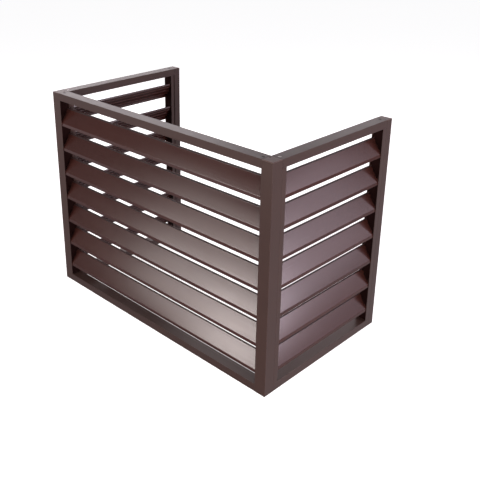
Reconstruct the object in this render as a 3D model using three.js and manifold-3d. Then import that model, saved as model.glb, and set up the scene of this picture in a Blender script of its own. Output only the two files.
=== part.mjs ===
// Louvred screen for an outdoor air conditioner unit: a U of three panels, open at the top, the
// bottom and the back. Two square corner posts and two slimmer rear posts carry top and bottom
// rails, and each panel holds seven slanted blades in black clip strips.
//
// Millimetres. +Z is up, X runs along the long front panel, and the front panel faces -Y.
// The origin is on the ground, in the middle of the footprint.

import * as THREE from 'three';
import { mergeVertices } from 'three/addons/utils/BufferGeometryUtils.js';
import Module from 'manifold-3d';

const wasm = await Module();
wasm.setup();

// ---------------------------------------------------------------- driving dimensions

const WIDTH = 960;            // outside, along the front panel
const DEPTH = 540;            // outside, front face to the rear posts' back faces
const HEIGHT = 700;           // ground to the top of the rails
const GAP = 0.3;              // clearance between pieces that touch

const FRAME_T = 38;           // thickness of every panel, and side of a corner post
const RAIL_H = 25;            // height of a top or bottom rail
const RAIL_WALL = 1.6;
const RAIL_BLOCK = 24;        // solid block pressed into each end of a rail
const DRAIN_D = 6;            // drain hole in the underside of a rail
const DRAIN_IN = 70;          // from the rail's end to its drain hole

const POST_WALL = 1.5;
const GROOVE_DEPTH = 8;       // groove that takes a clip strip
const CHANNEL_S = 17;         // width of a side panel's channel, seen from outside
const CHANNEL_STEP = 5.5;     // width of the step on the channel's inner side
const CHANNEL_STEP_D = 3;     // and its depth
const REAR_POST_S = 26;       // width of a rear post, seen from outside

const CAP_T = 2.3;            // cap plate on a post
const CAP_PLUG = 8;           // length of its plug inside the post
const CAP_HOLE_D = 4.5;       // small blind hole in a corner cap

const BLADES = 7;
const BLADE_H = 57.9;         // top edge to bottom edge of one blade
const BLADE_PITCH = 87.8;     // from one blade's top edge to the next one's
const BLADE_FIRST_GAP = 30;   // from the top rail down to the first blade
const BLADE_T = 1.6;
const BLADE_INNER = 30.8;     // from the panel's outer face to the upper lip's middle
const BLADE_OUTER = 2.7;      // from the panel's outer face to the lower lip's middle
const BLADE_SLOPE_TOP = -5.1; // where the slope's line meets the upper lip's
const BLADE_SLOPE_LOW = -47.1; // where the slope's line meets the lower lip's
const BLADE_BEND = 3;         // radius of both bends
const RIB_H = 2.4;            // ribs along the blade's back
const RIB_W = 1.8;
const RIB_AT = [0.16, 0.5, 0.84];

const STRIP_T = 3;            // base of a clip strip
const PRONG_T = 3;
const PRONG_TIP = 0.3;        // how far a prong stays below the groove's mouth

const SCREW_HEAD_D = 9.4;     // countersunk head
const SCREW_RIM = 0.4;        // straight rim above the cone
const SCREW_SINK = 0.4;       // from the rail's face down to the head
const SCREW_SHANK_D = 4.2;
const SCREW_L = 16;           // head included
const SCREW_SIDES = 16;
const FRONT_SCREW = { end: 7.5, face: 16.5 };  // from the rail's end, and from the outer face
const SIDE_SCREW = { end: 10, face: 19 };

const bladeTop = (i) => HEIGHT - RAIL_H - BLADE_FIRST_GAP - i * BLADE_PITCH;

// ---------------------------------------------------------------- finishes

const coat = (hex) => new THREE.MeshStandardMaterial({ color: hex, roughness: 0.42, metalness: 0.25 });
const FRAME_COLOR = 0x4b3836;
const BLADE_COLOR = 0x5a4243;
const plastic = () => new THREE.MeshStandardMaterial({ color: 0x131214, roughness: 0.6, metalness: 0 });
const capFinish = () => new THREE.MeshStandardMaterial({ color: 0x564545, roughness: 0.55, metalness: 0 });
const steel = () => new THREE.MeshStandardMaterial({ color: 0x4a4144, roughness: 0.3, metalness: 0.8 });

// ---------------------------------------------------------------- shape helpers

// A prism: a 2-D outline laid on axes a and b, and drawn out along c = a x b.
function prism(outline, length, a, b, origin) {
  const shape = new THREE.Shape(outline.map(([x, y]) => new THREE.Vector2(x, y)));
  const g = new THREE.ExtrudeGeometry(shape, { depth: length, bevelEnabled: false, steps: 1 });
  const c = new THREE.Vector3().crossVectors(a, b);
  const m = new THREE.Matrix4().makeBasis(a, b, c).setPosition(origin);
  g.applyMatrix4(m);
  return g;
}

const X = new THREE.Vector3(1, 0, 0);
const Y = new THREE.Vector3(0, 1, 0);
const Z = new THREE.Vector3(0, 0, 1);
const at = (x, y, z) => new THREE.Vector3(x, y, z);
const rect = (x0, y0, x1, y1) => [[x0, y0], [x1, y0], [x1, y1], [x0, y1]];

function box(x0, y0, z0, x1, y1, z1) {
  const g = new THREE.BoxGeometry(x1 - x0, y1 - y0, z1 - z0);
  g.translate((x0 + x1) / 2, (y0 + y1) / 2, (z0 + z1) / 2);
  return g;
}

function rod(x, y, z0, z1, d, sides) {
  const g = new THREE.CylinderGeometry(d / 2, d / 2, z1 - z0, sides);
  g.rotateX(Math.PI / 2);
  g.translate(x, y, (z0 + z1) / 2);
  return g;
}

function toSolid(geometry) {
  const g = geometry.clone();
  g.deleteAttribute('normal');
  g.deleteAttribute('uv');
  const m = mergeVertices(g, 1e-4);
  return new wasm.Manifold(new wasm.Mesh({
    numProp: 3,
    vertProperties: new Float32Array(m.attributes.position.array),
    triVerts: new Uint32Array(m.index.array),
  }));
}

function fromSolid(solid) {
  const m = solid.getMesh();
  const g = new THREE.BufferGeometry();
  g.setAttribute('position', new THREE.BufferAttribute(new Float32Array(m.vertProperties), 3));
  g.setIndex(new THREE.BufferAttribute(new Uint32Array(m.triVerts), 1));
  g.computeVertexNormals();
  return g;
}

// A tube: the prism of an outline, with the prism of a hole taken out along its whole length.
function tube(outline, hole, length, a, b, origin) {
  const c = new THREE.Vector3().crossVectors(a, b);
  const start = origin.clone().addScaledVector(c, -1);
  return cut(toSolid(prism(outline, length, a, b, origin)), prism(hole, length + 2, a, b, start));
}

const cut = (base, ...tools) => tools.reduce((s, t) => s.subtract(toSolid(t)), base);
const join = (base, ...more) => more.reduce((s, t) => s.add(toSolid(t)), base);

// ---------------------------------------------------------------- the blade's section

// In the section, d is the distance inward from the panel's outer face and z is measured down
// from the blade's top edge, so the upper lip stands inside and the lower lip outside.

const slopeVec = (() => {
  const dx = BLADE_OUTER - BLADE_INNER;
  const dz = BLADE_SLOPE_LOW - BLADE_SLOPE_TOP;
  const n = Math.hypot(dx, dz);
  return { dx: dx / n, dz: dz / n, length: n };
})();

function bladePath() {
  const corners = [
    [BLADE_INNER, 0],
    [BLADE_INNER, BLADE_SLOPE_TOP],
    [BLADE_OUTER, BLADE_SLOPE_LOW],
    [BLADE_OUTER, -BLADE_H],
  ];
  const out = [corners[0]];
  for (let i = 1; i < 3; i += 1) {
    const [px, pz] = corners[i - 1];
    const [cx, cz] = corners[i];
    const [nx, nz] = corners[i + 1];
    const l1 = Math.hypot(px - cx, pz - cz);
    const l2 = Math.hypot(nx - cx, nz - cz);
    const u1 = [(px - cx) / l1, (pz - cz) / l1];
    const u2 = [(nx - cx) / l2, (nz - cz) / l2];
    const half = Math.acos(u1[0] * u2[0] + u1[1] * u2[1]) / 2;
    const t = BLADE_BEND / Math.tan(half);
    const steps = 3;
    const a = [cx + u1[0] * t, cz + u1[1] * t];
    const b = [cx + u2[0] * t, cz + u2[1] * t];
    for (let k = 0; k <= steps; k += 1) {
      const s = k / steps;
      // quadratic blend through the corner keeps both tangents
      out.push([
        (1 - s) * (1 - s) * a[0] + 2 * s * (1 - s) * cx + s * s * b[0],
        (1 - s) * (1 - s) * a[1] + 2 * s * (1 - s) * cz + s * s * b[1],
      ]);
    }
  }
  out.push(corners[3]);
  return out;
}

function offsetPath(path, distance) {
  return path.map((p, i) => {
    const a = path[Math.max(0, i - 1)];
    const b = path[Math.min(path.length - 1, i + 1)];
    const n = Math.hypot(b[0] - a[0], b[1] - a[1]);
    return [p[0] - ((b[1] - a[1]) / n) * distance, p[1] + ((b[0] - a[0]) / n) * distance];
  });
}

function bladeSection() {
  const path = bladePath();
  const outer = offsetPath(path, -BLADE_T / 2);   // the side that faces up and out
  const back = offsetPath(path, BLADE_T / 2);     // the side that faces down and in
  // Ribs stand on the back of the straight slope.
  const i0 = 4;                                   // last point of the upper bend
  const a = back[i0];
  const b = back[i0 + 1];
  const n = Math.hypot(b[0] - a[0], b[1] - a[1]);
  const t = [(b[0] - a[0]) / n, (b[1] - a[1]) / n];
  const up = [-t[1], t[0]];
  const ribs = [];
  for (const f of RIB_AT) {
    const c = f * n;
    for (const [along, out] of [[-RIB_W / 2, 0], [-RIB_W / 2, RIB_H], [RIB_W / 2, RIB_H], [RIB_W / 2, 0]]) {
      ribs.push([a[0] + t[0] * (c + along) + up[0] * out, a[1] + t[1] * (c + along) + up[1] * out]);
    }
  }
  const backLine = [...back.slice(0, i0 + 1), ...ribs, ...back.slice(i0 + 1)];
  return [...outer, ...backLine.reverse()];
}

const SECTION = bladeSection();

// ---------------------------------------------------------------- pieces of a panel

// A panel is drawn in its own frame: u along its length, d inward from its outer face, z up.

function railGeometry(u0, u1, zBase, screwsUp, spot) {
  const length = u1 - u0;
  const shell = tube(
    rect(0, zBase, FRAME_T, zBase + RAIL_H),
    rect(RAIL_WALL, zBase + RAIL_WALL, FRAME_T - RAIL_WALL, zBase + RAIL_H - RAIL_WALL),
    length, Y, Z, at(u0, 0, 0),
  );
  const blockAt = (a) => box(
    a, RAIL_WALL / 2, zBase + RAIL_WALL / 2,
    a + RAIL_BLOCK, FRAME_T - RAIL_WALL / 2, zBase + RAIL_H - RAIL_WALL / 2,
  );
  let s = join(shell, blockAt(u0), blockAt(u1 - RAIL_BLOCK));
  const tools = [];
  for (const u of [u0 + spot.end, u1 - spot.end]) {
    const hole = screwHoleGeometry();
    if (!screwsUp) hole.rotateX(Math.PI);
    hole.translate(u, spot.face, screwsUp ? zBase + RAIL_H : zBase);
    tools.push(hole);
  }
  for (const u of [u0 + DRAIN_IN, u1 - DRAIN_IN]) {
    tools.push(rod(u, FRAME_T / 2, zBase - 1, zBase + RAIL_WALL + 1, DRAIN_D, 12));
  }
  s = cut(s, ...tools);
  return fromSolid(s);
}

function bladeGeometry(u0, u1, index) {
  return prism(SECTION, u1 - u0, Y, Z, at(u0, 0, bladeTop(index)));
}

// A clip strip lies on the floor of a groove. dir is +1 where its prongs point along +u.
function stripGeometry(uFloor, dir) {
  const z0 = RAIL_H + GAP;
  const z1 = HEIGHT - RAIL_H - GAP;
  const d0 = POST_WALL + GAP;
  const d1 = FRAME_T - POST_WALL - GAP;
  const ua = uFloor + dir * GAP;
  const ub = uFloor + dir * (GAP + STRIP_T);
  const uTip = uFloor + dir * (GROOVE_DEPTH - PRONG_TIP);
  let s = toSolid(box(Math.min(ua, ub), d0, z0, Math.max(ua, ub), d1, z1));
  const start = [BLADE_INNER, BLADE_SLOPE_TOP];
  for (let i = 0; i < BLADES; i += 1) {
    const top = bladeTop(i);
    // one prong lies against the blade's upper face, the other between the ribs on its back
    for (const [f0, f1, side] of [[0.28, 0.72, -1], [0.245, 0.415, 1]]) {
      const near = BLADE_T / 2 + GAP;
      const far = near + PRONG_T;
      const n = [-slopeVec.dz * side, slopeVec.dx * side];
      const p = (f, o) => [
        start[0] + slopeVec.dx * slopeVec.length * f + n[0] * o,
        top + start[1] + slopeVec.dz * slopeVec.length * f + n[1] * o,
      ];
      let ring = [p(f0, near), p(f1, near), p(f1, far), p(f0, far)];
      const area = ring.reduce((acc, q, k) => {
        const r = ring[(k + 1) % 4];
        return acc + q[0] * r[1] - r[0] * q[1];
      }, 0);
      if (area < 0) ring = ring.reverse();
      const inside = uFloor + dir * (GAP + STRIP_T / 2);
      const lo = Math.min(inside, uTip);
      const hi = Math.max(inside, uTip);
      s = join(s, prism(ring, hi - lo, Y, Z, at(lo, 0, 0)));
    }
  }
  return fromSolid(s);
}

// A side panel's channel. uBlade is its blade-facing edge, and dir points from there towards
// the post beside it.
function channelGeometry(uBlade, dir) {
  const z0 = RAIL_H + GAP;
  const z1 = HEIGHT - RAIL_H - GAP;
  const w = POST_WALL;
  const last = CHANNEL_S - GAP;
  const outline = [
    [0, 0], [w, 0], [w, GROOVE_DEPTH], [FRAME_T - w, GROOVE_DEPTH], [FRAME_T - w, 0], [FRAME_T, 0],
    [FRAME_T, CHANNEL_S - CHANNEL_STEP], [FRAME_T - CHANNEL_STEP_D, CHANNEL_S - CHANNEL_STEP],
    [FRAME_T - CHANNEL_STEP_D, last], [0, last],
  ].map(([d, s]) => [uBlade + dir * s, d]);
  const hole = rect(w, GROOVE_DEPTH + w, FRAME_T - CHANNEL_STEP_D - w, last - w)
    .map(([d, s]) => [uBlade + dir * s, d]);
  return fromSolid(tube(outline, hole, z1 - z0, X, Y, at(0, 0, z0)));
}

// Countersunk screw with a cross recess, drawn head up, in a rail whose face is at z = 0.
const headR = SCREW_HEAD_D / 2;
const shankR = SCREW_SHANK_D / 2;
const coneTop = -SCREW_SINK - SCREW_RIM;
const coneEnd = coneTop - (headR - shankR);

function screwSolid() {
  const tip = -SCREW_SINK - SCREW_L;
  const profile = [
    [0, tip], [shankR * 0.5, tip], [shankR, tip + 1.8], [shankR, coneEnd], [headR, coneTop],
    [headR, -SCREW_SINK], [0, -SCREW_SINK],
  ].map(([x, y]) => new THREE.Vector2(x, y));
  const g = new THREE.LatheGeometry(profile, SCREW_SIDES);
  g.rotateX(Math.PI / 2);
  const arm = 5;
  const thick = 1.3;
  const floor = -SCREW_SINK - 1.7;
  return cut(
    toSolid(g),
    box(-arm / 2, -thick / 2, floor, arm / 2, thick / 2, 1),
    box(-thick / 2, -arm / 2, floor, thick / 2, arm / 2, 1),
  );
}

// The hole that such a screw needs, with the clearance all round.
function screwHoleGeometry() {
  const lift = GAP * (Math.SQRT2 - 1);
  const profile = [
    [0, -SCREW_SINK - SCREW_L - 1], [shankR + GAP, -SCREW_SINK - SCREW_L - 1],
    [shankR + GAP, coneEnd - lift], [headR + GAP, coneTop - lift], [headR + GAP, 1], [0, 1],
  ].map(([x, y]) => new THREE.Vector2(x, y));
  const g = new THREE.LatheGeometry(profile, SCREW_SIDES);
  g.rotateX(Math.PI / 2);
  return g;
}

// ---------------------------------------------------------------- assembly

const screen = new THREE.Group();
screen.name = 'louvred_screen';

function add(parent, name, geometry, material) {
  const mesh = new THREE.Mesh(geometry, material);
  mesh.name = name;
  parent.add(mesh);
  return mesh;
}

const hw = WIDTH / 2;
const hd = DEPTH / 2;
const screw = fromSolid(screwSolid());

function addScrew(parent, name, u, face, z, up) {
  const m = add(parent, name, screw, steel());
  m.position.set(u, face, z);
  if (!up) m.rotation.x = Math.PI;
  return m;
}

function buildPanel(tag, bladeFrom, bladeTo, railFrom, railTo, spot, ends) {
  const g = new THREE.Group();
  add(g, `${tag}_top_rail`, railGeometry(railFrom, railTo, HEIGHT - RAIL_H, true, spot), coat(FRAME_COLOR));
  add(g, `${tag}_bottom_rail`, railGeometry(railFrom, railTo, 0, false, spot), coat(FRAME_COLOR));
  for (let i = 0; i < BLADES; i += 1) {
    add(g, `${tag}_blade_${i + 1}`, bladeGeometry(bladeFrom, bladeTo, i), coat(BLADE_COLOR));
  }
  for (const e of ends) {
    add(g, `${tag}_clip_strip_${e.name}`, stripGeometry(e.floor, e.dir), plastic());
    addScrew(g, `${tag}_top_screw_${e.name}`, e.screw, spot.face, HEIGHT, true);
    addScrew(g, `${tag}_bottom_screw_${e.name}`, e.screw, spot.face, 0, false);
  }
  screen.add(g);
  return g;
}

// Front panel, between the two corner posts.
{
  const inner = hw - FRAME_T;                       // the posts' inner faces
  const reach = GROOVE_DEPTH - GAP - STRIP_T - GAP; // how far a blade enters the groove
  const g = buildPanel(
    'front', -inner - reach, inner + reach, -inner + GAP, inner - GAP, FRONT_SCREW,
    [
      { name: 'left', floor: -inner - GROOVE_DEPTH, dir: 1, screw: -inner + GAP + FRONT_SCREW.end },
      { name: 'right', floor: inner + GROOVE_DEPTH, dir: -1, screw: inner - GAP - FRONT_SCREW.end },
    ],
  );
  g.position.set(0, -hd, 0);
}

// Side panels, from behind the corner posts to the rear posts. u runs from the middle of the depth.
function sidePanel(tag, side) {
  const reach = GROOVE_DEPTH - GAP - STRIP_T - GAP;
  const front = -hd + FRAME_T;                      // behind the corner post
  const rear = hd - REAR_POST_S;                    // in front of the rear post
  const bladeFront = front + CHANNEL_S;
  const bladeRear = rear - CHANNEL_S;
  // On the right side u is +Y, and on the left side u is -Y.
  const sgn = side;
  const ends = [
    { name: 'front', floor: sgn * (bladeFront - GROOVE_DEPTH), dir: sgn, screw: sgn * (front + GAP + SIDE_SCREW.end) },
    { name: 'rear', floor: sgn * (bladeRear + GROOVE_DEPTH), dir: -sgn, screw: sgn * (rear - GAP - SIDE_SCREW.end) },
  ];
  const span = (a, b) => (sgn > 0 ? [a, b] : [-b, -a]);
  const [b0, b1] = span(bladeFront - reach, bladeRear + reach);
  const [r0, r1] = span(front + GAP, rear - GAP);
  const g = buildPanel(tag, b0, b1, r0, r1, SIDE_SCREW, ends);
  add(g, `${tag}_front_channel`, channelGeometry(sgn * bladeFront, -sgn), coat(FRAME_COLOR));
  add(g, `${tag}_rear_channel`, channelGeometry(sgn * bladeRear, sgn), coat(FRAME_COLOR));
  g.rotation.z = (sgn * Math.PI) / 2;
  g.position.set(sgn * hw, 0, 0);
}
sidePanel('right', 1);
sidePanel('left', -1);

// Corner posts: square tubes with a groove that faces the front panel's blades.
for (const [tag, s] of [['right', 1], ['left', -1]]) {
  const w = POST_WALL;
  const x0 = hw - FRAME_T;
  const outline = [
    [x0, -hd], [hw, -hd], [hw, -hd + FRAME_T], [x0, -hd + FRAME_T],
    [x0, -hd + FRAME_T - w], [x0 + GROOVE_DEPTH, -hd + FRAME_T - w],
    [x0 + GROOVE_DEPTH, -hd + w], [x0, -hd + w],
  ].map(([x, y]) => [s * x, y]);
  const hole = rect(x0 + GROOVE_DEPTH + w, -hd + w, hw - w, -hd + FRAME_T - w).map(([x, y]) => [s * x, y]);
  const top = HEIGHT - CAP_T - GAP;
  add(screen, `${tag}_corner_post`, fromSolid(tube(outline, hole, top, X, Y, at(0, 0, 0))), coat(FRAME_COLOR));

  const c = w + GAP;
  const plug = box(
    Math.min(s * (x0 + GROOVE_DEPTH + c), s * (hw - c)), -hd + c, HEIGHT - CAP_T - CAP_PLUG,
    Math.max(s * (x0 + GROOVE_DEPTH + c), s * (hw - c)), -hd + FRAME_T - c, HEIGHT - CAP_T / 2,
  );
  const plate = box(
    Math.min(s * x0, s * hw), -hd, HEIGHT - CAP_T,
    Math.max(s * x0, s * hw), -hd + FRAME_T, HEIGHT,
  );
  const hx = s * (x0 + 7);
  const cap = cut(join(toSolid(plate), plug), rod(hx, -hd + 25, HEIGHT - 1.3, HEIGHT + 1, CAP_HOLE_D, 12));
  add(screen, `${tag}_corner_cap`, fromSolid(cap), capFinish());
}

// Rear posts: slimmer tubes whose back faces stand against the wall.
for (const [tag, s] of [['right', 1], ['left', -1]]) {
  const w = POST_WALL;
  const y0 = hd - REAR_POST_S;
  const xa = Math.min(s * (hw - FRAME_T), s * hw);
  const xb = Math.max(s * (hw - FRAME_T), s * hw);
  const top = HEIGHT - CAP_T - GAP;
  add(
    screen, `${tag}_rear_post`,
    fromSolid(tube(rect(xa, y0, xb, hd), rect(xa + w, y0 + w, xb - w, hd - w), top, X, Y, at(0, 0, 0))),
    coat(FRAME_COLOR),
  );
  const c = w + GAP;
  const plug = box(xa + c, y0 + c, HEIGHT - CAP_T - CAP_PLUG, xb - c, hd - c, HEIGHT - CAP_T / 2);
  const plate = box(xa, y0, HEIGHT - CAP_T, xb, hd, HEIGHT);
  add(screen, `${tag}_rear_cap`, fromSolid(join(toSolid(plate), plug)), capFinish());
}

export default screen;
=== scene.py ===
import bpy
import bmesh
import math
import random
from mathutils import Matrix, Vector
from mathutils.geometry import tessellate_polygon


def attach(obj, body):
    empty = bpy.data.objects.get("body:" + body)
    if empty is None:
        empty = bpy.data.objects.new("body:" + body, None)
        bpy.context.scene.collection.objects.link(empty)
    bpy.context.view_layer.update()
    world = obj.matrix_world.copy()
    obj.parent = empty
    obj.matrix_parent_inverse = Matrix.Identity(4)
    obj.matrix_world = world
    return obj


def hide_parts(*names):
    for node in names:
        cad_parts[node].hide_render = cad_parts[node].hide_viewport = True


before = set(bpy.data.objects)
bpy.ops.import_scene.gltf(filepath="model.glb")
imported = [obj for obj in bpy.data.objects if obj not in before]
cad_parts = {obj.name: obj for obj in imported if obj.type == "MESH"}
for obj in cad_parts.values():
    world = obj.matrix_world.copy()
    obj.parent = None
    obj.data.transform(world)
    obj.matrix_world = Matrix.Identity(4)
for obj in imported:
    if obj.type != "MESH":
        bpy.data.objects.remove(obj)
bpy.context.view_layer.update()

MM = 0.001

# ------------------------------------------------------------------ sizes of the model, in mm

WIDTH, DEPTH, HEIGHT = 960.0, 540.0, 700.0
T = 38.0                # panel thickness and side of a corner post
RAIL_H = 25.0
GAP = 0.3
WALL = 1.5
GROOVE = 8.0
CHANNEL_S, CHANNEL_STEP, CHANNEL_STEP_D = 17.0, 5.5, 3.0
REAR_S = 26.0
CAP_T, CAP_PLUG = 2.3, 8.0
BLADES, PITCH, FIRST_GAP, BLADE_H = 7, 87.8, 30.0, 57.9
BLADE_T = 1.6
INNER_D, OUTER_D = 30.8, 2.7
HW, HD = WIDTH / 2, DEPTH / 2
FRONT_SCREW = (7.5, 16.5)
SIDE_SCREW = (10.0, 19.0)


def blade_top(i):
    return HEIGHT - RAIL_H - FIRST_GAP - i * PITCH


# ------------------------------------------------------------------ outlines

def fillet(corners, seg=4):
    """corners is a closed list of (x, y, radius); gives the outline with each corner rounded."""
    out = []
    n = len(corners)
    for i, (x, y, r) in enumerate(corners):
        p = Vector((x, y))
        if r <= 0:
            out.append((x, y))
            continue
        a = Vector(corners[i - 1][:2])
        b = Vector(corners[(i + 1) % n][:2])
        u, v = (a - p).normalized(), (b - p).normalized()
        half = math.acos(max(-1.0, min(1.0, u.dot(v)))) / 2
        t = r / math.tan(half)
        c = p + (u + v).normalized() * (r / math.sin(half))
        s, e = p + u * t, p + v * t
        a0 = math.atan2(s.y - c.y, s.x - c.x)
        a1 = math.atan2(e.y - c.y, e.x - c.x)
        d = (a1 - a0 + math.pi) % (2 * math.pi) - math.pi
        for k in range(seg + 1):
            ang = a0 + d * k / seg
            out.append((c.x + r * math.cos(ang), c.y + r * math.sin(ang)))
    return out


def area(loop):
    return 0.5 * sum(
        loop[i][0] * loop[(i + 1) % len(loop)][1] - loop[(i + 1) % len(loop)][0] * loop[i][1]
        for i in range(len(loop))
    )


def inset(loop, d):
    """The outline moved inward by d (outward for a hole's outline when d is negative)."""
    sign = 1 if area(loop) > 0 else -1
    n = len(loop)
    out = []
    for i in range(n):
        p, a, b = Vector(loop[i]), Vector(loop[i - 1]), Vector(loop[(i + 1) % n])
        e1, e2 = (p - a).normalized(), (b - p).normalized()
        n1 = Vector((-e1.y, e1.x)) * sign
        n2 = Vector((-e2.y, e2.x)) * sign
        m = n1 + n2
        m = m.normalized() if m.length > 1e-6 else n1
        k = d / max(0.4, m.dot(n1))
        out.append((p.x + m.x * k, p.y + m.y * k))
    return out


# ------------------------------------------------------------------ mesh building

rng = random.Random(7)
made = []


def finish_mesh(name, bm, material, node, sharp=30.0, along=(1, 0, 0), tone=0.0, smooth=True):
    """Turns a bmesh in row-frame metres into a piece that replaces its CAD node."""
    bmesh.ops.remove_doubles(bm, verts=bm.verts, dist=1e-7)
    bmesh.ops.recalc_face_normals(bm, faces=bm.faces)
    lim = math.radians(sharp)
    for f in bm.faces:
        f.smooth = smooth
    for e in bm.edges:
        e.smooth = len(e.link_faces) == 2 and e.calc_face_angle(0.0) < lim
    me = bpy.data.meshes.new(name)
    bm.to_mesh(me)
    bm.free()
    # Lengthwise coordinate and section coordinates, in mm, for the extrusion's fine lines.
    al = Vector(along)
    sa = Vector((0, 1, 0)) if abs(al.x) > 0.5 else Vector((1, 0, 0))
    sb = Vector((0, 1, 0)) if abs(al.z) > 0.5 else Vector((0, 0, 1))
    att = me.attributes.new("ext", "FLOAT_VECTOR", "POINT")
    data = []
    for v in me.vertices:
        data.extend((v.co.dot(al) / MM, v.co.dot(sa) / MM, v.co.dot(sb) / MM))
    att.data.foreach_set("vector", data)
    tn = me.attributes.new("tone", "FLOAT", "POINT")
    tn.data.foreach_set("value", [tone] * len(me.vertices))
    o = bpy.data.objects.new(name, me)
    bpy.context.scene.collection.objects.link(o)
    me.materials.append(material)
    m = o.modifiers.new("weighted", "WEIGHTED_NORMAL")
    m.mode = "FACE_AREA"
    m.keep_sharp = True
    m.weight = 60
    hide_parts(node)
    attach(o, "root")
    made.append(o)
    return o


def prism(loops, length, place, chamfer=0.2):
    """loops[0] is the outline and the rest are holes, in mm. place(u, a, b) gives row-frame metres."""
    bm = bmesh.new()
    us = [(0.0, chamfer), (chamfer, 0.0), (length - chamfer, 0.0), (length, chamfer)]
    if chamfer <= 0:
        us = [(0.0, 0.0), (length, 0.0)]
    rings = []
    for u, c in us:
        row = []
        for k, loop in enumerate(loops):
            pts = loop if c <= 0 else inset(loop, c if k == 0 else -c)
            row.append([bm.verts.new(place(u, a, b)) for a, b in pts])
        rings.append(row)
    for r in range(len(rings) - 1):
        for k in range(len(loops)):
            A, B = rings[r][k], rings[r + 1][k]
            n = len(A)
            for i in range(n):
                j = (i + 1) % n
                bm.faces.new((A[i], A[j], B[j], B[i]))
    for row, (u, c) in ((rings[0], us[0]), (rings[-1], us[-1])):
        flat = [[Vector((*p, 0)) for p in (loop if c <= 0 else inset(loop, c if k == 0 else -c))]
                for k, loop in enumerate(loops)]
        verts = [v for lp in row for v in lp]
        for tri in tessellate_polygon(flat):
            if len(set(tri)) == 3:
                try:
                    bm.faces.new([verts[i] for i in tri])
                except ValueError:
                    pass
    return bm


def lathe(profile, seg, place):
    """profile is a list of (radius, height) from axis to axis, in mm; place(x, y, z) gives metres."""
    bm = bmesh.new()
    rings = []
    for r, h in profile:
        if r < 1e-6:
            rings.append([bm.verts.new(place(0, 0, h))])
        else:
            rings.append([bm.verts.new(place(r * math.cos(2 * math.pi * k / seg), r * math.sin(2 * math.pi * k / seg), h)) for k in range(seg)])
    for A, B in zip(rings, rings[1:]):
        for k in range(seg):
            j = (k + 1) % seg
            if len(A) == 1 and len(B) == 1:
                continue
            if len(A) == 1:
                bm.faces.new((A[0], B[k], B[j]))
            elif len(B) == 1:
                bm.faces.new((A[k], A[j], B[0]))
            else:
                bm.faces.new((A[k], A[j], B[j], B[k]))
    bmesh.ops.recalc_face_normals(bm, faces=bm.faces)
    return bm


def merge(bm, other):
    me = bpy.data.meshes.new("tmp")
    other.to_mesh(me)
    other.free()
    bm.from_mesh(me)
    bpy.data.meshes.remove(me)
    return bm


def as_object(bm):
    bmesh.ops.recalc_face_normals(bm, faces=bm.faces)
    me = bpy.data.meshes.new("tmp")
    bm.to_mesh(me)
    bm.free()
    o = bpy.data.objects.new("tmp", me)
    bpy.context.scene.collection.objects.link(o)
    return o


def boolean(base, tools, operation="DIFFERENCE"):
    """Cuts or joins closed solids one after the other and gives the result as a bmesh."""
    o = as_object(base)
    cutters = [as_object(t) for t in tools]
    for c in cutters:
        m = o.modifiers.new("b", "BOOLEAN")
        m.operation = operation
        m.solver = "EXACT"
        m.object = c
    dg = bpy.context.evaluated_depsgraph_get()
    dg.update()
    me = bpy.data.meshes.new_from_object(o.evaluated_get(dg))
    bm = bmesh.new()
    bm.from_mesh(me)
    bpy.data.meshes.remove(me)
    for c in cutters + [o]:
        me = c.data
        bpy.data.objects.remove(c)
        bpy.data.meshes.remove(me)
    bmesh.ops.dissolve_degenerate(bm, edges=bm.edges, dist=1e-7)
    return bm


# ------------------------------------------------------------------ materials

def new_material(name):
    m = bpy.data.materials.new(name)
    m.use_nodes = True
    nt = m.node_tree
    nt.nodes.clear()
    out = nt.nodes.new("ShaderNodeOutputMaterial")
    b = nt.nodes.new("ShaderNodeBsdfPrincipled")
    nt.links.new(b.outputs["BSDF"], out.inputs["Surface"])
    return m, nt, b


def noise(nt, vec, scale, detail=2.0, rough=0.5):
    n = nt.nodes.new("ShaderNodeTexNoise")
    n.inputs["Scale"].default_value = scale
    n.inputs["Detail"].default_value = detail
    n.inputs["Roughness"].default_value = rough
    nt.links.new(vec, n.inputs["Vector"])
    return n.outputs["Fac"]


def mapping(nt, vec, scale):
    n = nt.nodes.new("ShaderNodeMapping")
    n.inputs["Scale"].default_value = scale
    nt.links.new(vec, n.inputs["Vector"])
    return n.outputs["Vector"]


def math_node(nt, op, a, b=None, c=None, clamp=False):
    n = nt.nodes.new("ShaderNodeMath")
    n.operation = op
    n.use_clamp = clamp
    for i, v in enumerate((a, b, c)):
        if v is None:
            continue
        if isinstance(v, (int, float)):
            n.inputs[i].default_value = v
        else:
            nt.links.new(v, n.inputs[i])
    return n.outputs[0]


def remap(nt, v, lo, hi, to_lo, to_hi):
    n = nt.nodes.new("ShaderNodeMapRange")
    n.inputs["From Min"].default_value = lo
    n.inputs["From Max"].default_value = hi
    n.inputs["To Min"].default_value = to_lo
    n.inputs["To Max"].default_value = to_hi
    nt.links.new(v, n.inputs["Value"])
    return n.outputs["Result"]


def mix_color(nt, fac, a, b, mode="MIX"):
    n = nt.nodes.new("ShaderNodeMix")
    n.data_type = "RGBA"
    n.blend_type = mode
    fs = [s for s in n.inputs if s.name == "Factor" and s.type == "VALUE"][0]
    as_ = [s for s in n.inputs if s.name == "A" and s.type == "RGBA"][0]
    bs = [s for s in n.inputs if s.name == "B" and s.type == "RGBA"][0]
    for s, v in ((fs, fac), (as_, a), (bs, b)):
        if isinstance(v, (int, float)):
            s.default_value = v
        elif isinstance(v, tuple):
            s.default_value = (*v, 1.0) if len(v) == 3 else v
        else:
            nt.links.new(v, s)
    return [s for s in n.outputs if s.type == "RGBA"][0]


def attribute(nt, name, out):
    n = nt.nodes.new("ShaderNodeAttribute")
    n.attribute_type = "GEOMETRY"
    n.attribute_name = name
    return n.outputs[out]


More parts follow.
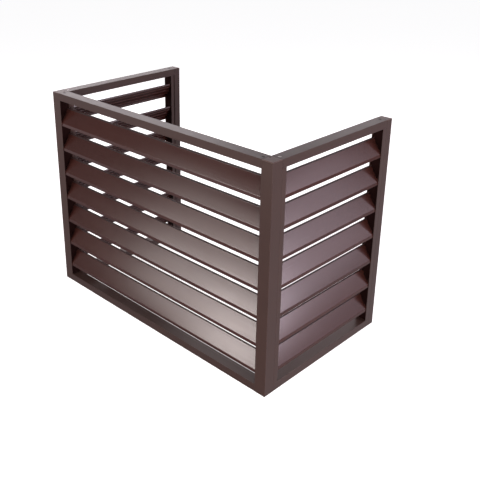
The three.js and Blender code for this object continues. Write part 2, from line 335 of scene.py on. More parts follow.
def edge_mask(nt, radius):
    """1 along convex edges, from the difference between the bevelled and the true normal."""
    bev = nt.nodes.new("ShaderNodeBevel")
    bev.samples = 6
    bev.inputs["Radius"].default_value = radius
    geo = nt.nodes.new("ShaderNodeNewGeometry")
    dot = nt.nodes.new("ShaderNodeVectorMath")
    dot.operation = "DOT_PRODUCT"
    nt.links.new(bev.outputs["Normal"], dot.inputs[0])
    nt.links.new(geo.outputs["True Normal"], dot.inputs[1])
    return remap(nt, dot.outputs["Value"], 0.995, 0.85, 0.0, 1.0)


def coating(name, base, dark, light, rough, spec, metallic, streak=1.0, peel=1.0, band=0.35):
    """Satin powder coat on an extrusion: fine orange peel, faint die lines, tone drift, and a
    thinner, paler film along the edges."""
    m, nt, b = new_material(name)
    tc = nt.nodes.new("ShaderNodeTexCoord").outputs["Object"]
    ext = attribute(nt, "ext", "Vector")
    tone = attribute(nt, "tone", "Fac")
    # colour: slow drift, a cloud at hand size, and the die lines
    big = noise(nt, tc, 3.1, 3.0, 0.55)
    mid = noise(nt, tc, 28.0, 3.0, 0.6)
    fine = noise(nt, tc, 900.0, 2.0, 0.6)
    lines = noise(nt, mapping(nt, ext, (0.0025, 1.9, 1.9)), 1.0, 3.0, 0.65)
    drift = math_node(nt, "ADD", math_node(nt, "MULTIPLY", big, 0.45), math_node(nt, "MULTIPLY", mid, 0.25))
    drift = math_node(nt, "ADD", drift, math_node(nt, "MULTIPLY", lines, 0.30))
    drift = math_node(nt, "ADD", drift, math_node(nt, "MULTIPLY", tone, 0.12))
    c = mix_color(nt, remap(nt, drift, 0.34, 0.66, 0.0, 1.0), dark, base)
    c = mix_color(nt, remap(nt, fine, 0.35, 0.75, 0.0, 0.22), c, light)
    edge = edge_mask(nt, 0.0011)
    worn = math_node(nt, "MULTIPLY", edge, remap(nt, noise(nt, tc, 55.0, 4.0, 0.7), 0.38, 0.66, 0.15, 0.8))
    c = mix_color(nt, math_node(nt, "MULTIPLY", worn, 0.55), c, light)
    # dust settles on faces that look up
    geo = nt.nodes.new("ShaderNodeNewGeometry")
    sep = nt.nodes.new("ShaderNodeSeparateXYZ")
    nt.links.new(geo.outputs["Normal"], sep.inputs[0])
    up = remap(nt, sep.outputs["Z"], 0.35, 1.0, 0.0, 1.0)
    speck = remap(nt, noise(nt, tc, 420.0, 4.0, 0.75), 0.56, 0.8, 0.0, 1.0)
    dust = math_node(nt, "MULTIPLY", up, math_node(nt, "ADD", math_node(nt, "MULTIPLY", speck, 0.10), 0.02))
    c = mix_color(nt, dust, c, (0.32, 0.29, 0.27))
    # painted shade: the gutter under each blade's upper lip, which the mesh marks, is darkened and made rougher to
    # stand for the shade in that crease
    painted_shade = math_node(nt, "MULTIPLY", attribute(nt, "root", "Fac"), remap(nt, mid, 0.3, 0.7, 0.82, 0.98))
    c = mix_color(nt, painted_shade, c, (0.0065, 0.0032, 0.0034))
    nt.links.new(c, b.inputs["Base Color"])
    b.inputs["Metallic"].default_value = metallic
    b.inputs["Specular IOR Level"].default_value = spec
    r = math_node(nt, "ADD", remap(nt, mid, 0.3, 0.7, rough - 0.010, rough + 0.010), remap(nt, lines, 0.3, 0.7, -0.022 * streak, 0.022 * streak))
    bands = noise(nt, mapping(nt, ext, (0.0045, 0.24, 0.24)), 1.0, 3.0, 0.7)
    r = math_node(nt, "ADD", r, remap(nt, bands, 0.3, 0.7, -0.020 * band, 0.020 * band))
    r = math_node(nt, "ADD", r, math_node(nt, "MULTIPLY", dust, 0.9))
    r = math_node(nt, "ADD", r, math_node(nt, "MULTIPLY", worn, -0.05))
    r = math_node(nt, "ADD", r, math_node(nt, "MULTIPLY", painted_shade, 0.62 - rough))
    nt.links.new(r, b.inputs["Roughness"])
    # bump: orange peel, grain and die lines, in metres of height
    peel_h = noise(nt, tc, 420.0, 2.0, 0.5)
    bump1 = nt.nodes.new("ShaderNodeBump")
    bump1.inputs["Strength"].default_value = 1.0
    bump1.inputs["Distance"].default_value = 0.000009 * peel
    nt.links.new(peel_h, bump1.inputs["Height"])
    bump2 = nt.nodes.new("ShaderNodeBump")
    bump2.inputs["Strength"].default_value = 1.0
    bump2.inputs["Distance"].default_value = 0.000003
    nt.links.new(fine, bump2.inputs["Height"])
    nt.links.new(bump1.outputs["Normal"], bump2.inputs["Normal"])
    bump3 = nt.nodes.new("ShaderNodeBump")
    bump3.inputs["Strength"].default_value = 1.0
    bump3.inputs["Distance"].default_value = 0.000010 * streak
    nt.links.new(lines, bump3.inputs["Height"])
    nt.links.new(bump2.outputs["Normal"], bump3.inputs["Normal"])
    # long, shallow waves along the extrusion, which draw out its reflections
    bump4 = nt.nodes.new("ShaderNodeBump")
    bump4.inputs["Strength"].default_value = 1.0
    bump4.inputs["Distance"].default_value = 0.000022 * band
    nt.links.new(bands, bump4.inputs["Height"])
    nt.links.new(bump3.outputs["Normal"], bump4.inputs["Normal"])
    nt.links.new(bump4.outputs["Normal"], b.inputs["Normal"])
    return m


def plastic(name, base, light, rough, spec=0.4, grain=1.0):
    """Moulded plastic: fine spark-eroded grain, faint flow marks and slightly greyer edges."""
    m, nt, b = new_material(name)
    tc = nt.nodes.new("ShaderNodeTexCoord").outputs["Object"]
    big = noise(nt, tc, 9.0, 3.0, 0.6)
    grain_n = noise(nt, tc, 1600.0, 3.0, 0.7)
    flow = noise(nt, mapping(nt, tc, (140.0, 140.0, 12.0)), 1.0, 3.0, 0.6)
    c = mix_color(nt, remap(nt, math_node(nt, "ADD", math_node(nt, "MULTIPLY", big, 0.5), math_node(nt, "MULTIPLY", flow, 0.5)), 0.35, 0.65, 0.0, 0.55), base, light)
    edge = edge_mask(nt, 0.0006)
    c = mix_color(nt, math_node(nt, "MULTIPLY", edge, 0.35), c, light)
    nt.links.new(c, b.inputs["Base Color"])
    b.inputs["Metallic"].default_value = 0.0
    b.inputs["Specular IOR Level"].default_value = spec
    nt.links.new(remap(nt, grain_n, 0.3, 0.7, rough - 0.06, rough + 0.06), b.inputs["Roughness"])
    bump = nt.nodes.new("ShaderNodeBump")
    bump.inputs["Strength"].default_value = 1.0
    bump.inputs["Distance"].default_value = 0.00002 * grain
    nt.links.new(grain_n, bump.inputs["Height"])
    nt.links.new(bump.outputs["Normal"], b.inputs["Normal"])
    return m


def steel(name, base, dark, rough):
    """Plated screw steel: lathe rings, small pits, and painted shade in the recess, darker with depth below the head.
    """
    m, nt, b = new_material(name)
    tc = nt.nodes.new("ShaderNodeTexCoord").outputs["Object"]
    ext = attribute(nt, "ext", "Vector")
    sep = nt.nodes.new("ShaderNodeSeparateXYZ")
    nt.links.new(ext, sep.inputs[0])
    cloud = noise(nt, tc, 500.0, 4.0, 0.7)
    pits = noise(nt, tc, 2600.0, 2.0, 0.6)
    # painted shade: the colour darkens with depth in the recess and below the head
    depth = remap(nt, sep.outputs["X"], -2.2, -0.5, 1.0, 0.0)
    c = mix_color(nt, remap(nt, cloud, 0.35, 0.7, 0.0, 0.6), base, dark)
    c = mix_color(nt, math_node(nt, "MULTIPLY", depth, 0.85), c, dark)
    nt.links.new(c, b.inputs["Base Color"])
    b.inputs["Metallic"].default_value = 1.0
    nt.links.new(remap(nt, cloud, 0.3, 0.7, rough - 0.07, rough + 0.1), b.inputs["Roughness"])
    bump = nt.nodes.new("ShaderNodeBump")
    bump.inputs["Strength"].default_value = 1.0
    bump.inputs["Distance"].default_value = 0.00001
    nt.links.new(pits, bump.inputs["Height"])
    nt.links.new(bump.outputs["Normal"], b.inputs["Normal"])
    return m


FRAME_MAT = coating("frame_coat", (0.0492, 0.0205, 0.0145), (0.0385, 0.0157, 0.0110), (0.105, 0.060, 0.050), 0.38, 0.62, 0.0)
BLADE_MAT = coating("blade_coat", (0.0504, 0.0122, 0.0084), (0.0398, 0.0094, 0.0066), (0.100, 0.050, 0.042), 0.22, 0.58, 0.0, band=1.5)
CLIP_MAT = plastic("clip_plastic", (0.0085, 0.0020, 0.0016), (0.0150, 0.0045, 0.0038), 0.78, 0.06)
CAP_MAT = plastic("cap_plastic", (0.100, 0.055, 0.047), (0.150, 0.096, 0.088), 0.40, 0.45, 0.6)
SCREW_MAT = steel("screw_steel", (0.66, 0.61, 0.60), (0.07, 0.06, 0.06), 0.36)
# a darker copy of the same screw steel: painted shade for the top screws that sit in shade
SCREW_SHADED = steel("screw_shaded", (0.035, 0.028, 0.027), (0.01, 0.008, 0.008), 0.42)

# ------------------------------------------------------------------ the panels' frames


class Panel:
    """u along the panel, d inward from its outer face, z up; all in mm."""

    def __init__(self, tag):
        self.tag = tag
        if tag == "front":
            self.origin, self.u, self.d = Vector((0, -HD, 0)), Vector((1, 0, 0)), Vector((0, 1, 0))
        elif tag == "right":
            self.origin, self.u, self.d = Vector((HW, 0, 0)), Vector((0, 1, 0)), Vector((-1, 0, 0))
        else:
            self.origin, self.u, self.d = Vector((-HW, 0, 0)), Vector((0, -1, 0)), Vector((1, 0, 0))

    def place(self, u0=0.0):
        return lambda u, d, z: (self.origin + self.u * (u0 + u) + self.d * d + Vector((0, 0, z))) * MM


def rail(panel, node, u0, u1, z0, up, spot):
    """A rounded tube with solid end blocks, two countersunk screw holes and two drain holes."""
    r = 0.9
    outline = fillet([(0, z0, r), (T, z0, r), (T, z0 + RAIL_H, r), (0, z0 + RAIL_H, r)], 4)
    body = prism([outline], u1 - u0, panel.place(u0), 0.2)
    w, blk = 1.6, 24.0
    core = fillet([(w, z0 + w, 0.5), (T - w, z0 + w, 0.5), (T - w, z0 + RAIL_H - w, 0.5), (w, z0 + RAIL_H - w, 0.5)], 2)
    inner = prism([core], u1 - u0 - 2 * blk, panel.place(u0 + blk), 0.0)
    tools = []
    end, face = spot
    P = panel.place(0.0)
    for u in (u0 + end, u1 - end):
        zf = z0 + RAIL_H if up else z0
        s = 1 if up else -1
        prof = [(0, -17.4), (2.4, -17.4), (2.4, -3.55), (5.0, -0.95), (5.0, -0.28), (5.28, 0.02), (5.28, 1.0), (0, 1.0)]
        tools.append(lathe(prof, 40, lambda x, y, z, u=u, zf=zf, s=s: P(u + x, face + y, zf + s * z)))
    drains = []
    for u in (u0 + 70, u1 - 70):
        drains.append(lathe([(0, -1), (3.0, -1), (3.0, w + 1), (0, w + 1)], 24, lambda x, y, z, u=u: P(u + x, T / 2 + y, z0 + z)))
    bm = boolean(body, [inner])
    all_tools = bmesh.new()
    for t in tools + drains:
        merge(all_tools, t)
    bm = boolean(bm, [all_tools])
    return finish_mesh(node, bm, FRAME_MAT, node, 30, panel.u, rng.uniform(-1, 1))


# ------------------------------------------------------------------ blades


SLOPE_A, SLOPE_B = math.radians(35.0), math.radians(32.6)   # from vertical, at the slope's two ends
UPPER, LOWER = math.radians(-18.0), math.radians(7.0)       # the two lips' lean
BEND_A, BEND_B, LIP = 2.4, 2.0, 4.6


def blade_line():
    """Centre line of a blade from its top edge down, with the angle from vertical at each point.
    The upper lip leans out over the slope's root, the slope is slightly crowned, and the lower
    lip leans out a little at its foot."""
    step = 0.02

    def run(length):
        pts = []
        d, z = INNER_D, 0.0
        sections = [(LIP, UPPER, UPPER), (BEND_A * (SLOPE_A - UPPER), UPPER, SLOPE_A), (length, SLOPE_A, SLOPE_B), (BEND_B * (SLOPE_B - LOWER), SLOPE_B, LOWER)]
        for span, p0, p1 in sections:
            n = max(1, int(span / step))
            h = span / n
            for k in range(n):
                ph = p0 + (p1 - p0) * (k + 0.5) / n
                pts.append((d, z, p0 + (p1 - p0) * k / n))
                d -= math.sin(ph) * h
                z -= math.cos(ph) * h
        pts.append((d, z, LOWER))
        return pts

    def end(pts):
        return pts[-1][0] - (pts[-1][1] + BLADE_H) * math.tan(LOWER)

    lo, hi = 20.0, 70.0
    for _ in range(40):
        mid = (lo + hi) / 2
        if end(run(mid)) > OUTER_D:
            lo = mid
        else:
            hi = mid
    pts = run(lo)
    pts.append((OUTER_D, -BLADE_H, LOWER))
    return pts, LIP, BEND_A * (SLOPE_A - UPPER), lo, BEND_B * (SLOPE_B - LOWER)


LINE, L1, A1, LS, A2 = blade_line()
ARC = [0.0]                # arc length at every fine point
for (a_, b_, _), (c_, d_, _) in zip(LINE, LINE[1:]):
    ARC.append(ARC[-1] + math.hypot(c_ - a_, d_ - b_))


def off(s, o):
    """Point of the blade's section at arc length s, o mm towards the back (inward and down on
    the slope)."""
    s = max(0.0, min(ARC[-1], s))
    lo_, hi_ = 0, len(ARC) - 1
    while hi_ - lo_ > 1:
        m = (lo_ + hi_) // 2
        if ARC[m] <= s:
            lo_ = m
        else:
            hi_ = m
    f = (s - ARC[lo_]) / max(1e-9, ARC[hi_] - ARC[lo_])
    a, b = LINE[lo_], LINE[hi_]
    d, z, phi = (a[k] + (b[k] - a[k]) * f for k in range(3))
    return (d + math.cos(phi) * o, z - math.sin(phi) * o)


def blade_section():
    h = BLADE_T / 2
    e1, e2, e3, e4 = L1, L1 + A1, L1 + A1 + LS, L1 + A1 + LS + A2
    # outer side, from the top edge down, ending in a rounded bead at the lower edge
    stations = [e1 + A1 * k / 6 for k in range(7)]
    stations += [e2 + LS * k / 8 for k in range(1, 8)]
    stations += [e3 + A2 * k / 6 for k in range(7)]
    outer = [off(s, -h) for s in stations]
    # lower edge: the lip thickens into a slight bead towards the inside
    bead = 1.0
    n = 10

    def local(d, z, lean, o, up):
        return (d + math.cos(lean) * o + math.sin(lean) * up, z - math.sin(lean) * o + math.cos(lean) * up)

    for k in range(n + 1):
        a = math.radians(180 + 235 * k / n)
        outer.append(local(OUTER_D, -BLADE_H, LOWER, bead - h + bead * math.cos(a), bead + bead * math.sin(a)))
    outer.append(local(OUTER_D, -BLADE_H, LOWER, h, 2 * bead + 0.9))
    # back side, from the bottom up, with three round-nosed ribs on the slope
    back = [(s, h) for s in [e3 + A2 * k / 5 for k in range(5, -1, -1)]]
    ribs = []
    for f in (0.84, 0.5, 0.16):
        c = e2 + LS * f
        w0, w1, hh = 1.05, 0.62, 2.4
        ribs += [(c + w0 + 0.35, h), (c + w0, h + 0.3), (c + w1, h + hh - w1)]
        ribs += [(c + w1 * math.cos(a), h + hh - w1 + w1 * math.sin(a)) for a in [math.pi * k / 6 for k in range(1, 6)]]
        ribs += [(c - w1, h + hh - w1), (c - w0, h + 0.3), (c - w0 - 0.35, h)]
    back += ribs
    back += [(s, h) for s in [e2 - A1 * k / 5 for k in range(6)]]
    back_pts = [off(s, o) for s, o in back]
    # slight bead on the upper edge, towards the inside
    tb = 1.0
    top = [local(INNER_D, 0.0, UPPER, h, -2 * tb - 0.9)]
    for k in range(11):
        a = math.radians(-55 + 235 * k / 10)
        top.append(local(INNER_D, 0.0, UPPER, tb - h + tb * math.cos(a), -tb + tb * math.sin(a)))
    return outer + back_pts + top


SECTION = blade_section()
# weight of the painted shade in the gutter under the upper lip, for each point of the section
GUTTER_SHADE = [{0: 1.0, 1: 1.0, 2: 0.9, 3: 0.6, 4: 0.25}.get(k, 1.0 if k == len(SECTION) - 1 else 0.0) for k in range(len(SECTION))]


def blade(panel, i, u0, u1):
    node = f"{panel.tag}_blade_{i + 1}"
    zt = blade_top(i)
    P = panel.place(u0)
    bm = prism([SECTION], u1 - u0, lambda u, d, z: P(u, d, zt + z), 0.15)
    # the gutter under the upper lip is marked for the coat's material, which darkens it there as painted shade
    layer = bm.verts.layers.float.new("root")
    for k, v in enumerate(bm.verts):
        v[layer] = GUTTER_SHADE[k % len(SECTION)]
    return finish_mesh(node, bm, BLADE_MAT, node, 38, panel.u, rng.uniform(-1, 1))


# ------------------------------------------------------------------ clip strips and screws


def strip(panel, node, floor, sgn):
    """Black strip on the floor of a groove, with two prongs for every blade end."""
    z0, z1 = RAIL_H + GAP, HEIGHT - RAIL_H - GAP
    d0, d1 = WALL + GAP, T - WALL - GAP
    P = panel.place(0.0)
    ua, ub, tip = GAP, GAP + 3.0, GROOVE - GAP
    outline = fillet([(ua, d0, 0.3), (ub, d0, 0.5), (ub, d1, 0.5), (ua, d1, 0.3)], 2)
    base = prism([outline], z1 - z0, lambda u, a, b: P(floor + sgn * a, b, z0 + u), 0.3)
    prongs = bmesh.new()
    for i in range(BLADES):
        zt = blade_top(i)
        for f0, f1, side in ((0.26, 0.74, -1), (0.24, 0.42, 1), (0.58, 0.76, 1)):
            near = BLADE_T / 2 + GAP + (0.55 if side < 0 else 0.1)
            sa, sb = L1 + A1 + LS * f0, L1 + A1 + LS * f1
            quad = [(*off(sa, side * near), 0.5), (*off(sb, side * near), 0.5),
                    (*off(sb, side * (near + 2.6)), 0.9), (*off(sa, side * (near + 2.6)), 0.9)]
            quad = [(d, zt + z, r) for d, z, r in quad]
            block = prism([fillet(quad, 3)], tip - 1.6, lambda u, a, b: P(floor + sgn * (1.6 + u), a, b), 0.3)
            bmesh.ops.recalc_face_normals(block, faces=block.faces)
            merge(prongs, block)
    bm = boolean(base, [prongs], "UNION")
    return finish_mesh(node, bm, CLIP_MAT, node, 35, (0, 0, 1), rng.uniform(-1, 1))


def screw(panel, node, u, face, zf, up, mat, turn, sink=0.4):
    """Countersunk self-tapping screw with a cross recess and a rolled thread."""
    P = panel.place(0.0)
    s = 1 if up else -1
    ct, st = math.cos(turn), math.sin(turn)
    place = lambda x, y, z: P(u + x * ct - y * st, face + x * st + y * ct, zf + s * z)
    hr, sr = 4.7, 1.75
    prof = [(0, -sink - 16.0), (0.35, -sink - 15.6), (sr, -sink - 13.2)]
    z = -sink - 13.2
    while z < -sink - 4.6:
        prof += [(sr, z + 0.25), (2.1, z + 0.62), (2.1, z + 0.74), (sr, z + 1.1)]
        z += 1.4
    prof += [(sr, -sink - 3.1), (hr - 0.25, -sink - 0.42), (hr, -sink - 0.28), (hr, -sink - 0.16), (hr - 0.14, -sink - 0.04), (hr - 0.4, -sink), (0, -sink)]
    body = lathe(prof, 40, place)
    for k in (0, 1):
        bmc = bmesh.new()
        a, b, deep = 2.55, 0.62, 1.75
        lower = [(-a * 0.45, -b * 0.7), (a * 0.45, -b * 0.7), (a * 0.45, b * 0.7), (-a * 0.45, b * 0.7)]
        upper = [(-a, -b), (a, -b), (a, b), (-a, b)]
        rot = (lambda x, y: (x, y)) if k == 0 else (lambda x, y: (-y, x))
        lo_ = [bmc.verts.new(place(*rot(x, y), -sink - deep)) for x, y in lower]
        hi_ = [bmc.verts.new(place(*rot(x * 1.12, y * 1.06), 0.6)) for x, y in upper]
        bmc.faces.new(lo_)
        bmc.faces.new(hi_)
        for i in range(4):
            j = (i + 1) % 4
            bmc.faces.new((lo_[i], lo_[j], hi_[j], hi_[i]))
        if k == 0:
            first = bmc
        else:
            second = bmc
    bm = boolean(body, [first, second])
    o = finish_mesh(node, bm, mat, node, 32, (0, 0, 1))
    # the screw's own depth below its head, which sets the painted shade in the recess
    data = []
    for v in o.data.vertices:
        depth = (v.co.z / MM - zf) * s
        data.extend((depth, 0.0, 0.0))
    o.data.attributes["ext"].data.foreach_set("vector", data)
    return o


# ------------------------------------------------------------------ build the three panels

inner = HW - T
reach = GROOVE - GAP - 3.0 - GAP


def panel_set(panel, blade_u, rail_u, spot, ends):
    u0, u1 = rail_u
    rail(panel, f"{panel.tag}_top_rail", u0, u1, HEIGHT - RAIL_H, True, spot)
    rail(panel, f"{panel.tag}_bottom_rail", u0, u1, 0.0, False, spot)
    for i in range(BLADES):
        blade(panel, i, *blade_u)
    for name, floor, sgn, us in ends:
        strip(panel, f"{panel.tag}_clip_strip_{name}", floor, sgn)
        # painted shade: the front panel's top screws and the rear top screws are the same screws as the rest, drawn
        # with the darker copy of the steel
        top_mat = SCREW_SHADED if panel.tag == "front" or name == "rear" else SCREW_MAT
        screw(panel, f"{panel.tag}_top_screw_{name}", us, spot[1], HEIGHT, True, top_mat, rng.uniform(0, 1.5))
        screw(panel, f"{panel.tag}_bottom_screw_{name}", us, spot[1], 0.0, False, SCREW_MAT, rng.uniform(0, 1.5))


front, right, left = Panel("front"), Panel("right"), Panel("left")
panel_set(
    front, (-inner - reach, inner + reach), (-inner + GAP, inner - GAP), FRONT_SCREW,
    [("left", -inner - GROOVE, 1, -inner + GAP + FRONT_SCREW[0]), ("right", inner + GROOVE, -1, inner - GAP - FRONT_SCREW[0])],
)
for pn, s in ((right, 1), (left, -1)):
    yf, yr = -HD + T, HD - REAR_S
    bf, br = yf + CHANNEL_S, yr - CHANNEL_S
    span = (lambda a, b: (a, b)) if s > 0 else (lambda a, b: (-b, -a))
    panel_set(
        pn, span(bf - reach, br + reach), span(yf + GAP, yr - GAP), SIDE_SCREW,
        [("front", s * (bf - GROOVE), s, s * (yf + GAP + SIDE_SCREW[0])), ("rear", s * (br + GROOVE), -s, s * (yr - GAP - SIDE_SCREW[0]))],
    )
    # side channels
    for name, edge, dirn in (("front", s * bf, -s), ("rear", s * br, s)):
        w, last = WALL, CHANNEL_S - GAP
        st = CHANNEL_S - CHANNEL_STEP
        sec = [
            (0, 0, 0.3), (w, 0, 0.3), (w, GROOVE, 0.25), (T - w, GROOVE, 0.25), (T - w, 0, 0.3), (T, 0, 0.6),
            (T, st, 0.4), (T - CHANNEL_STEP_D, st, 0.3), (T - CHANNEL_STEP_D, last, 0.4), (0, last, 0.5),
        ]
        sec[0] = (0, 0, 0.6)
        hole = [(w, GROOVE + w, 0.3), (T - CHANNEL_STEP_D - w, GROOVE + w, 0.3), (T - CHANNEL_STEP_D - w, last - w, 0.3), (w, last - w, 0.3)]
        z0, z1 = RAIL_H + GAP, HEIGHT - RAIL_H - GAP
        P = pn.place(0.0)
        bm = prism([fillet(sec, 3), fillet(hole, 2)], z1 - z0, lambda u, d, q, edge=edge, dirn=dirn: P(edge + dirn * q, d, z0 + u), 0.15)
        node = f"{pn.tag}_{name}_channel"
        finish_mesh(node, bm, FRAME_MAT, node, 30, (0, 0, 1), rng.uniform(-1, 1))

# ------------------------------------------------------------------ posts and caps

for tag, s in (("right", 1), ("left", -1)):
    w, x0 = WALL, HW - T
    top = HEIGHT - CAP_T - GAP
    sec = [
        (x0, -HD, 0.6), (HW, -HD, 1.1), (HW, -HD + T, 0.4), (x0, -HD + T, 0.6),
        (x0, -HD + T - w, 0.3), (x0 + GROOVE, -HD + T - w, 0.25), (x0 + GROOVE, -HD + w, 0.25), (x0, -HD + w, 0.3),
    ]
    hole = [(x0 + GROOVE + w, -HD + w, 0.4), (HW - w, -HD + w, 0.4), (HW - w, -HD + T - w, 0.4), (x0 + GROOVE + w, -HD + T - w, 0.4)]
    bm = prism([fillet(sec, 4), fillet(hole, 3)], top, lambda u, a, b, s=s: Vector((s * a, b, u)) * MM, 0.2)
    node = f"{tag}_corner_post"
    finish_mesh(node, bm, FRAME_MAT, node, 30, (0, 0, 1), rng.uniform(-0.4, 0.4))

    def plate(xa, ya, xb, yb, r, lip):
        """Cap plate with a rounded top edge, in mm."""
        c = fillet([(xa, ya, r), (xb, ya, r), (xb, yb, r), (xa, yb, r)], 5)
        bm = bmesh.new()
        steps = [(HEIGHT - CAP_T, 0.25), (HEIGHT - CAP_T + 0.25, 0.0)]
        n = 5
        for k in range(n + 1):
            a = math.pi / 2 * k / n
            steps.append((HEIGHT - lip + lip * math.sin(a), lip * (1 - math.cos(a))))
        rings = [[bm.verts.new(Vector((s * x, y, z)) * MM) for x, y in inset(c, d)] for z, d in steps]
        for A, B in zip(rings, rings[1:]):
            for i in range(len(A)):
                j = (i + 1) % len(A)
                bm.faces.new((A[i], A[j], B[j], B[i]))
        bm.faces.new(rings[0])
        bm.faces.new(rings[-1])
        return bm

    def plug(xa, ya, xb, yb):
        """Hollow plug under the plate."""
        z0, z1 = HEIGHT - CAP_T - CAP_PLUG, HEIGHT - CAP_T / 2
        outer = fillet([(xa, ya, 0.8), (xb, ya, 0.8), (xb, yb, 0.8), (xa, yb, 0.8)], 3)
        core = fillet([(xa + 1.6, ya + 1.6, 0.5), (xb - 1.6, ya + 1.6, 0.5), (xb - 1.6, yb - 1.6, 0.5), (xa + 1.6, yb - 1.6, 0.5)], 2)
        a = prism([outer], z1 - z0, lambda u, x, y: Vector((s * x, y, z0 + u)) * MM, 0.4)
        b = prism([core], z1 - z0 - 1.0, lambda u, x, y: Vector((s * x, y, z0 - 1.0 + u)) * MM, 0.0)
        return boolean(a, [b])

    c = w + GAP
    base = boolean(plate(x0 + 0.05, -HD, HW, -HD + T, 1.1, 1.3), [plug(x0 + GROOVE + c, -HD + c, HW - c, -HD + T - c)], "UNION")
    hx = x0 + 7
    mark = lathe([(0, -1.3), (1.9, -1.3), (2.15, -0.3), (2.45, 0.02), (2.45, 1.0), (0, 1.0)], 28,
                 lambda x, y, z: Vector((s * (hx + x), -HD + 25 + y, HEIGHT + z)) * MM)
    bm = boolean(base, [mark])
    node = f"{tag}_corner_cap"
    finish_mesh(node, bm, CAP_MAT, node, 32, (1, 0, 0), rng.uniform(-1, 1))

    ya, yb = HD - REAR_S, HD
    sec = fillet([(x0, ya, 0.7), (HW, ya, 0.9), (HW, yb, 1.1), (x0, yb, 1.1)], 4)
    hole = fillet([(x0 + w, ya + w, 0.4), (HW - w, ya + w, 0.4), (HW - w, yb - w, 0.4), (x0 + w, yb - w, 0.4)], 3)
    bm = prism([sec, hole], top, lambda u, a, b, s=s: Vector((s * a, b, u)) * MM, 0.2)
    node = f"{tag}_rear_post"
    finish_mesh(node, bm, FRAME_MAT, node, 30, (0, 0, 1), rng.uniform(-0.4, 0.4))
    bm = boolean(plate(x0, ya + 0.05, HW, yb, 1.1, 1.3), [plug(x0 + c, ya + c, HW - c, yb - c)], "UNION")
    node = f"{tag}_rear_cap"
    finish_mesh(node, bm, CAP_MAT, node, 32, (1, 0, 0), rng.uniform(-1, 1))

# ------------------------------------------------------------------ floor, light, camera

bmf = bmesh.new()
bmesh.ops.create_grid(bmf, x_segments=1, y_segments=1, size=30.0)
mef = bpy.data.meshes.new("floor")
bmf.to_mesh(mef)
bmf.free()
floor = bpy.data.objects.new("floor", mef)
floor.location = (0, 0, -0.0004)
bpy.context.scene.collection.objects.link(floor)
fm, nt, b = new_material("floor_white")
tc = nt.nodes.new("ShaderNodeTexCoord").outputs["Object"]
soft = noise(nt, tc, 1.3, 2.0, 0.5)
nt.links.new(mix_color(nt, soft, (0.90, 0.90, 0.90), (0.93, 0.93, 0.93)), b.inputs["Base Color"])
b.inputs["Roughness"].default_value = 0.9
b.inputs["Specular IOR Level"].default_value = 0.1
b.inputs["Emission Color"].default_value = (1.0, 1.0, 1.0, 1.0)
b.inputs["Emission Strength"].default_value = 0.85
mef.materials.append(fm)
# The floor is white to the camera, but throws no light back: the photograph's surroundings are darker.
floor.visible_diffuse = False
floor.visible_glossy = False

world = bpy.data.worlds.new("studio")
bpy.context.scene.world = world
world.use_nodes = True
wt = world.node_tree
bg = wt.nodes["Background"]
bg.inputs["Color"].default_value = (0.96, 0.93, 1.0, 1.0)
sep = wt.nodes.new("ShaderNodeSeparateXYZ")
wt.links.new(wt.nodes.new("ShaderNodeTexCoord").outputs["Generated"], sep.inputs[0])
# below the horizon the light comes from the right and the back, with a paler band just under the
# horizon in front and less from straight below, and above it the sky is dim
side = math_node(wt, "ADD", math_node(wt, "MULTIPLY", sep.outputs["X"], 0.64), math_node(wt, "MULTIPLY", sep.outputs["Y"], 0.76))
band = math_node(wt, "MULTIPLY", remap(wt, sep.outputs["Z"], -0.27, -0.18, 0.0, 0.42), remap(wt, side, -0.3, 0.1, 1.0, 0.0))
low = math_node(wt, "ADD", remap(wt, side, -0.3, 0.3, 0.29, 0.56), band)
dip = math_node(wt, "MULTIPLY", remap(wt, side, 0.0, 0.5, 0.0, 0.42), remap(wt, sep.outputs["Z"], -0.30, -0.22, 0.0, 1.0))
low = math_node(wt, "SUBTRACT", low, dip)
low = math_node(wt, "MULTIPLY", low, remap(wt, sep.outputs["Z"], -0.9, -0.6, 0.35, 1.0))
below = remap(wt, sep.outputs["Z"], -0.03, 0.03, 1.0, 0.0)
lit = math_node(wt, "ADD", math_node(wt, "MULTIPLY", low, below), math_node(wt, "MULTIPLY", math_node(wt, "SUBTRACT", 1.0, below), 0.127))
seen = wt.nodes.new("ShaderNodeLightPath").outputs["Is Camera Ray"]
wt.links.new(math_node(wt, "MAXIMUM", lit, math_node(wt, "MULTIPLY", seen, 1.05)), bg.inputs["Strength"])

CENTRE = Vector((0, 0, 0.35))


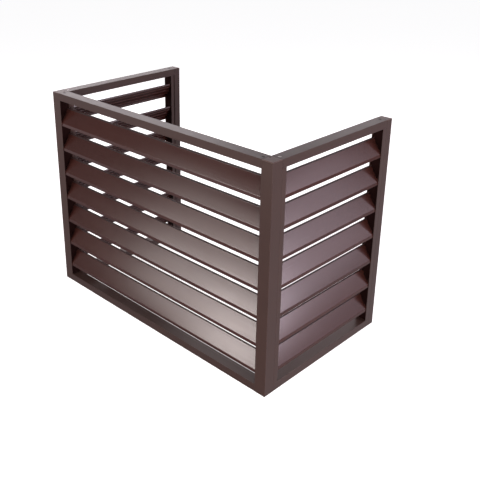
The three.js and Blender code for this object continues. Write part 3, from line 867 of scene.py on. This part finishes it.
def softbox(name, az, el, dist, size_x, size_y, radiance, color=(1, 1, 1), target=CENTRE):
    """Area light of a stated radiance, az from the front (-Y) towards +X, looking at the target."""
    a, e = math.radians(az), math.radians(el)
    pos = target + Vector((math.sin(a) * math.cos(e), -math.cos(a) * math.cos(e), math.sin(e))) * dist
    ld = bpy.data.lights.new(name, "AREA")
    ld.shape = "RECTANGLE"
    ld.size, ld.size_y = size_x, size_y
    ld.energy = radiance * math.pi * size_x * size_y
    ld.color = color
    o = bpy.data.objects.new(name, ld)
    bpy.context.scene.collection.objects.link(o)
    o.location = pos
    o.rotation_euler = (target - pos).to_track_quat("-Z", "Y").to_euler()
    return o


# (tint, size_x, size_y, [(az, el, radiance), ...]): a patchwork of boxes makes each light's soft shape
BOXES = {
    "key": ((1.0, 0.916, 0.888), 0.62, 0.55, [
        (-38, 26, 2.55), (-27, 26, 4.8), (-38, 17, 4.95), (-27, 17, 12.7), (-5, 17, 0.65), (-27, 8, 8.9), (-16, 8, 1.5), (-5, 8, 4.4)]),
    "near": ((1.0, 0.98, 0.99), 1.2, 1.0, [(20, 8, 4.1), (45, 8, 8.1), (65, 8, 8.1)]),
    "right": ((1.0, 0.87, 1.0), 0.8, 0.75, [
        (118, 19, 13.1), (133, 19, 2.2), (133, 31, 1.3), (88, 7, 4.5), (118, 7, 1.25), (133, 7, 0.8)]),
    "back": ((1.0, 0.906, 0.925), 1.15, 0.9, [(-105, 26, 2.7), (-125, 26, 3.2), (-145, 26, 1.45), (-165, 26, 1.7)]),
}
for name, (tint, size_x, size_y, cells) in BOXES.items():
    for k, (az, el, radiance) in enumerate(cells):
        softbox(f"{name}_{k + 1}", az, el, 3.2, size_x, size_y, radiance, tint)

cam_data = bpy.data.cameras.new("camera")
cam = bpy.data.objects.new("camera", cam_data)
bpy.context.scene.collection.objects.link(cam)
bpy.context.scene.camera = cam
cam_data.sensor_fit = "HORIZONTAL"
cam_data.sensor_width = 36.0
cam_data.lens = 53.95417
cam_data.shift_x, cam_data.shift_y = 0.07, -0.14
cam_data.clip_start, cam_data.clip_end = 0.05, 100.0
r_ = Vector((0.70385467, 0.71034138, 0.0019305))
u_ = Vector((-0.25751085, 0.25262459, 0.93266767))
f_ = Vector((-0.66202475, 0.65695962, -0.36073161))
m = Matrix.Identity(4)
for i in range(3):
    m[i][0], m[i][1], m[i][2] = r_[i], u_[i], -f_[i]
m.translation = Vector((1.53712, -1.54916, 1.31241))
cam.matrix_world = m

vs = bpy.context.scene.view_settings
vs.view_transform = "Standard"
vs.look = "None"
vs.exposure = 0.0
vs.gamma = 1.0

bpy.context.view_layer.update()
